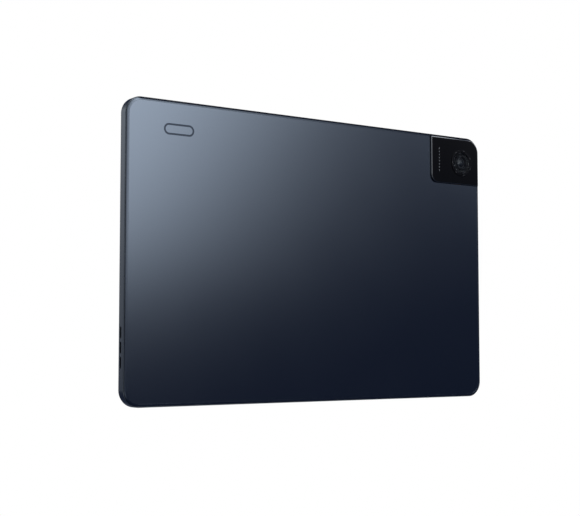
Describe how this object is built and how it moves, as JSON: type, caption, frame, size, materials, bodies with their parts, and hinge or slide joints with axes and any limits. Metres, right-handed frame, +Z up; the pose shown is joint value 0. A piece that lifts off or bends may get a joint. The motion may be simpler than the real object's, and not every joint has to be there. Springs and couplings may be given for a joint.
{
  "type": "tablet computer",
  "caption": "Slim landscape tablet computer with a satin metal back, flat sides, a raised corner camera block, sprung keys, card tray and full interior.",
  "frame": {"origin": "centre of the flat lower long edge, at the middle of the tablet's 6.9 mm thickness", "axes": "+X to the right as seen from the display, +Z up towards the long edge with the keys, the display faces -Y and the rear cover faces +Y"},
  "size_m": [0.2562, 0.0085, 0.1673],
  "materials": {
    "rear_metal": "satin blasted and anodised dark blue-grey",
    "frame_metal": "satin anodised dark grey",
    "key_metal": "satin anodised dark grey",
    "polished_metal": "diamond-cut polished edge",
    "lens_ring": "black coated, fine turned",
    "display_glass": "clear glass over a black printed border and a dark display",
    "camera_glass": "back-printed black glass",
    "lens_glass": "coated lens glass",
    "display_panel": "unlit display",
    "backlight": "white reflector",
    "graphite": "graphite film",
    "adhesive": "black foam tape",
    "flex": "amber film over copper",
    "board": "solder-masked laminate",
    "chip": "moulded package",
    "shield_steel": "stamped nickel silver",
    "mesh_steel": "black woven dust mesh",
    "battery_pouch": "black film over an aluminium pouch",
    "black_plastic": "moulded, matte",
    "clear_plastic": "clear moulded",
    "cable_jacket": "extruded jacket",
    "antenna_foil": "plated foil on a carrier",
    "screw_steel": "pan-head machine screw"
  },
  "bodies": {
    "chassis": {"mid_frame": "frame_metal", "rear_cover": "rear_metal", "rear_cover_adhesive": "adhesive", "cover_glass": "display_glass", "display_adhesive": "adhesive", "display_panel": "display_panel", "backlight_unit": "backlight", "display_flex": "flex", "heat_spreader": "graphite", "camera_surround": "polished_metal", "camera_window": "camera_glass", "lens_ring": "lens_ring", "lens_glass": "lens_glass", "rear_camera_body": "black_plastic", "rear_camera_flex": "flex", "front_camera": "black_plastic", "light_sensor": "clear_plastic", "main_board": "board", "processor": "chip", "storage_chip": "chip", "processor_shield": "shield_steel", "memory_shield": "shield_steel", "power_shield": "shield_steel", "radio_shield": "shield_steel", "usb_c_shell": "shield_steel", "usb_c_tongue": "black_plastic", "battery_cell_left": "battery_pouch", "battery_cell_right": "battery_pouch", "battery_board": "board", "battery_flex": "flex", "speaker_left": "black_plastic", "speaker_right": "black_plastic", "speaker_mesh_left": "mesh_steel", "speaker_mesh_right": "mesh_steel", "speaker_cable": "cable_jacket", "microphone_top": "shield_steel", "microphone_side": "shield_steel", "power_switch": "shield_steel", "volume_up_switch": "shield_steel", "volume_down_switch": "shield_steel", "key_flex": "flex", "key_bracket": "shield_steel", "card_socket": "shield_steel", "wifi_antenna_left": "antenna_foil", "wifi_antenna_right": "antenna_foil", "antenna_cable": "cable_jacket", "screw_1": "screw_steel", "screw_2": "screw_steel", "screw_3": "screw_steel", "screw_4": "screw_steel", "screw_5": "screw_steel", "screw_6": "screw_steel", "screw_7": "screw_steel", "screw_8": "screw_steel"},
    "power_key": {"power_key": "key_metal"},
    "volume_rocker": {"volume_rocker": "key_metal"},
    "card_tray": {"card_tray": "key_metal"},
    "lens_barrel": {"rear_camera_barrel": "black_plastic"}
  },
  "joints": [
    {"name": "power_key_press", "type": "slide", "parent": "chassis", "child": "power_key", "axis": [0, 0, -1], "range_m": [0, 0.00025], "stiffness_N_per_m": 1500},
    {"name": "volume_rocker_tilt", "type": "hinge", "parent": "chassis", "child": "volume_rocker", "pos_m": [-0.05165, 0, 0.164], "axis": [0, 1, 0], "range_deg": [-1, 1], "stiffness_Nm_per_rad": 0.6},
    {"name": "card_tray_slide", "type": "slide", "parent": "chassis", "child": "card_tray", "axis": [-1, 0, 0], "range_m": [0, 0.022]},
    {"name": "lens_focus", "type": "slide", "parent": "chassis", "child": "lens_barrel", "axis": [0, 1, 0], "range_m": [0, 0.00025], "stiffness_N_per_m": 200}
  ]
}
